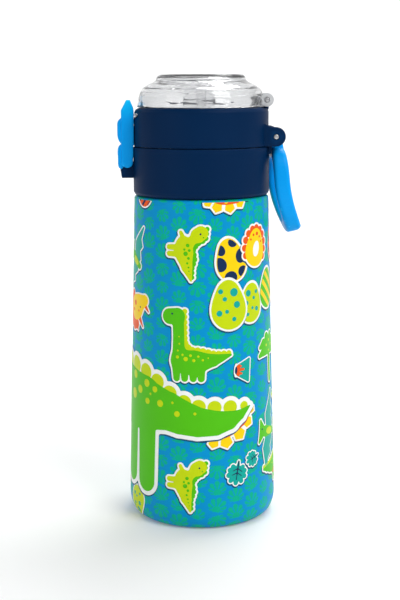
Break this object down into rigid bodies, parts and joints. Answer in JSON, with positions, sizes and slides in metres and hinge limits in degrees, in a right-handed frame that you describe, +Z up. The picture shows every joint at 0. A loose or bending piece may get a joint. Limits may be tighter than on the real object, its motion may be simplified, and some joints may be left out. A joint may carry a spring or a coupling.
{
  "type": "kids water bottle",
  "caption": "Insulated children's bottle with a printed, tapered steel body, a screw-on flip lid with a clear dust cover, a front latch and a rear carry loop.",
  "frame": {"origin": "centre of the base pad's underside, on the bottle's axis", "axes": "+Z up along the bottle's axis, -X to the front where the latch is, +X to the back where the hinge and the carry loop are, Y along the hinge pins"},
  "size_m": [0.0913, 0.0752, 0.2231],
  "materials": {
    "print_coat": "satin powder coat with a printed pattern",
    "steel": "brushed",
    "navy": "satin moulded plastic",
    "azure": "smooth moulded plastic",
    "clear": "clear polished plastic",
    "clear_silicone": "translucent silicone",
    "silicone": "matte silicone",
    "natural": "natural moulded plastic",
    "pad": "matte silicone"
  },
  "bodies": {
    "flask": {"outer_shell": "print_coat", "outer_base": "steel", "base_pad": "pad", "vacuum_seal": "steel", "getter": "steel", "inner_flask": "steel"},
    "seal": {"neck_gasket": "silicone"},
    "collar": {"collar_shell": "navy", "thread_insert": "natural", "straw_holder": "natural", "straw": "natural", "latch_pin": "steel", "hinge_pin": "steel"},
    "lid": {"lid_ring": "navy", "lid_deck": "navy", "spout_gasket": "silicone", "mouthpiece": "clear_silicone", "vent_valve": "silicone", "catch_pin": "steel", "cover_pin": "steel"},
    "cover": {"clear_cover": "clear"},
    "latch": {"latch": "azure"},
    "loop": {"carry_loop": "azure"}
  },
  "joints": [
    {"name": "lid_rise", "type": "slide", "parent": "flask", "child": "seal", "axis": [0, 0, 1], "range_m": [0, 0.00501]},
    {"name": "lid_turn", "type": "hinge", "parent": "seal", "child": "collar", "pos_m": [0, 0, 0.182], "axis": [0, 0, 1], "range_deg": [0, 450]},
    {"name": "lid_flip", "type": "hinge", "parent": "collar", "child": "lid", "pos_m": [0.0357, 0, 0.193], "axis": [0, 1, 0], "range_deg": [0, 110]},
    {"name": "cover_flip", "type": "hinge", "parent": "lid", "child": "cover", "pos_m": [0.0315, 0, 0.2108], "axis": [0, 1, 0], "range_deg": [0, 130]},
    {"name": "latch_swing", "type": "hinge", "parent": "collar", "child": "latch", "pos_m": [-0.0369, 0, 0.1807], "axis": [0, -1, 0], "range_deg": [0, 70]},
    {"name": "loop_swing", "type": "hinge", "parent": "collar", "child": "loop", "pos_m": [0.0357, 0, 0.193], "axis": [0, 1, 0], "range_deg": [-120, 0]}
  ],
  "couplings": [
    {"joint": "lid_rise", "follows": "lid_turn", "m_per_rad": 0.00063662}
  ]
}
